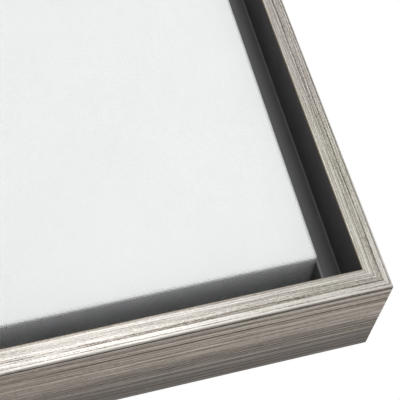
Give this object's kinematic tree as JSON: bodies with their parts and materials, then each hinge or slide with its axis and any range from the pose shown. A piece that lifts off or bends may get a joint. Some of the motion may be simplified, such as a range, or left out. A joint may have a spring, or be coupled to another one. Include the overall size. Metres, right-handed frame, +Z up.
{
  "type": "floating frame",
  "caption": "Floating frame: stepped, metal-leafed rails stand round a stretched canvas with a dark gap between, and D-rings on the back hang it.",
  "frame": {"origin": "centre of the frame's underside, in the middle of its depth from the front face to the bumpers' tips", "axes": "+Z up the picture, -Y out of its face towards the viewer, +X to the viewer's right; it hangs with its back to +Y"},
  "size_m": [0.2402, 0.057, 0.291],
  "materials": {
    "moulding": "brushed pewter leaf on the face and the outer side, matte black inside, bare wood behind",
    "pine": "planed, bare",
    "beech": "sawn, bare",
    "cotton": "primed canvas weave, matte white",
    "steel": "bright wire",
    "zinc": "zinc plate, satin",
    "rubber": "moulded, matte"
  },
  "bodies": {
    "frame": {"rail_bottom": "moulding", "rail_right": "moulding", "rail_top": "moulding", "rail_left": "moulding", "v_nails_bottom_left": "steel", "v_nails_bottom_right": "steel", "v_nails_top_right": "steel", "v_nails_top_left": "steel", "stretcher_bottom": "pine", "stretcher_right": "pine", "stretcher_top": "pine", "stretcher_left": "pine", "keys_bottom_left": "beech", "keys_bottom_right": "beech", "keys_top_right": "beech", "keys_top_left": "beech", "canvas": "cotton", "staples_bottom": "steel", "staples_right": "steel", "staples_top": "steel", "staples_left": "steel", "mount_screws_bottom": "zinc", "mount_screws_right": "zinc", "mount_screws_top": "zinc", "mount_screws_left": "zinc", "hanger_strap_left": "zinc", "hanger_strap_right": "zinc", "hanger_screw_left": "zinc", "hanger_screw_right": "zinc", "bumper_bottom_left": "rubber", "bumper_bottom_right": "rubber", "bumper_top_right": "rubber", "bumper_top_left": "rubber"},
    "ring_left": {"d_ring_left": "zinc"},
    "ring_right": {"d_ring_right": "zinc"}
  },
  "joints": [
    {"name": "ring_left_hinge", "type": "hinge", "parent": "frame", "child": "ring_left", "pos_m": [-0.1081, 0.02585, 0.2037], "axis": [-1, 0, 0], "range_deg": [-3, 165]},
    {"name": "ring_right_hinge", "type": "hinge", "parent": "frame", "child": "ring_right", "pos_m": [0.1081, 0.02585, 0.2037], "axis": [-1, 0, 0], "range_deg": [-3, 165]}
  ]
}
